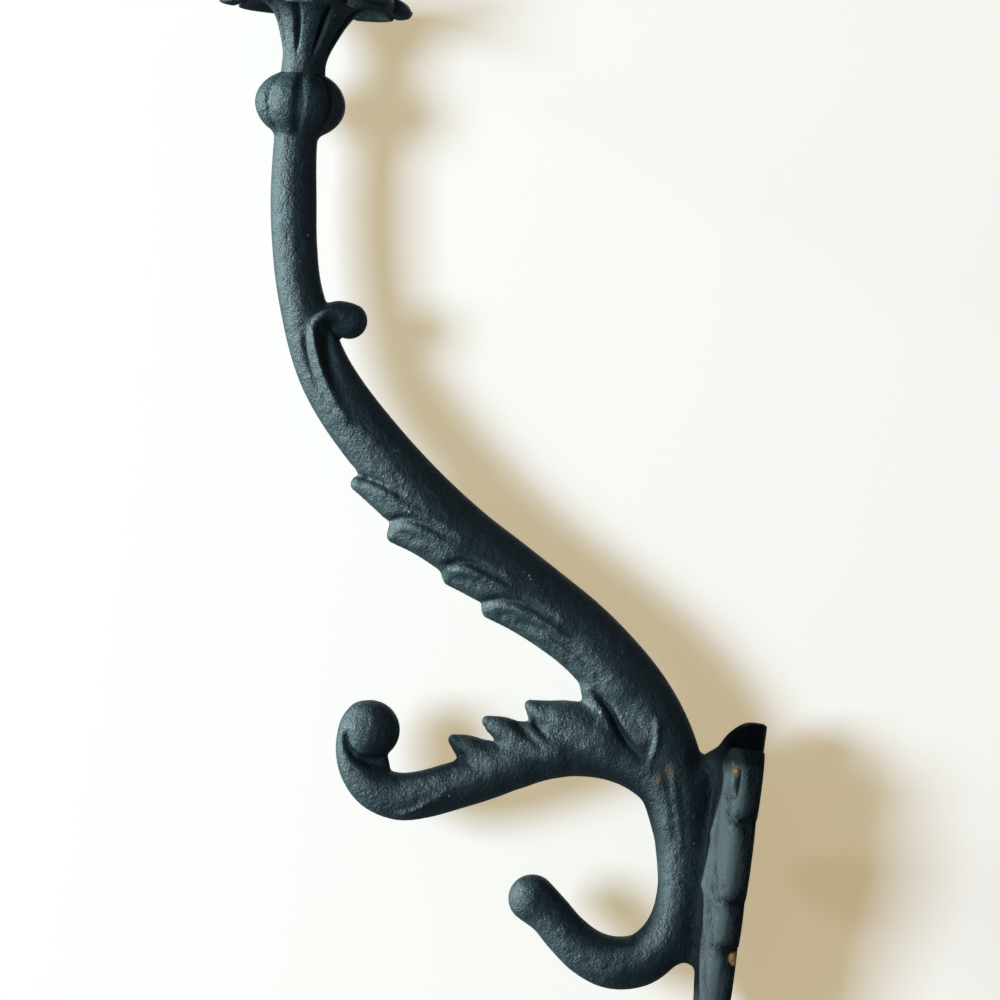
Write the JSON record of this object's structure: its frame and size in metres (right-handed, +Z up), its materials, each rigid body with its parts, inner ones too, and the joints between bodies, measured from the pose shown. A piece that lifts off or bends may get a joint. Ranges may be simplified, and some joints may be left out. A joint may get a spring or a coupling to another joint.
{
  "type": "triple wall hook",
  "caption": "Painted cast-iron leaf wall hook with a tall hat arm, a scrolled coat hook and a small lower hook on a leaf-shaped plate.",
  "frame": {"origin": "on the wall face of the back plate, in the middle of its width, level with the root of the lower hook", "axes": "+Z up as the hook hangs, +Y into the wall, the hooks stand out towards -Y, +X across the plate"},
  "size_m": [0.044, 0.1457, 0.2399],
  "materials": {
    "painted_iron": "worn semi-matt black paint on a sand-cast grain"
  },
  "bodies": {
    "root": {"hook_casting": "painted_iron"}
  },
  "joints": []
}
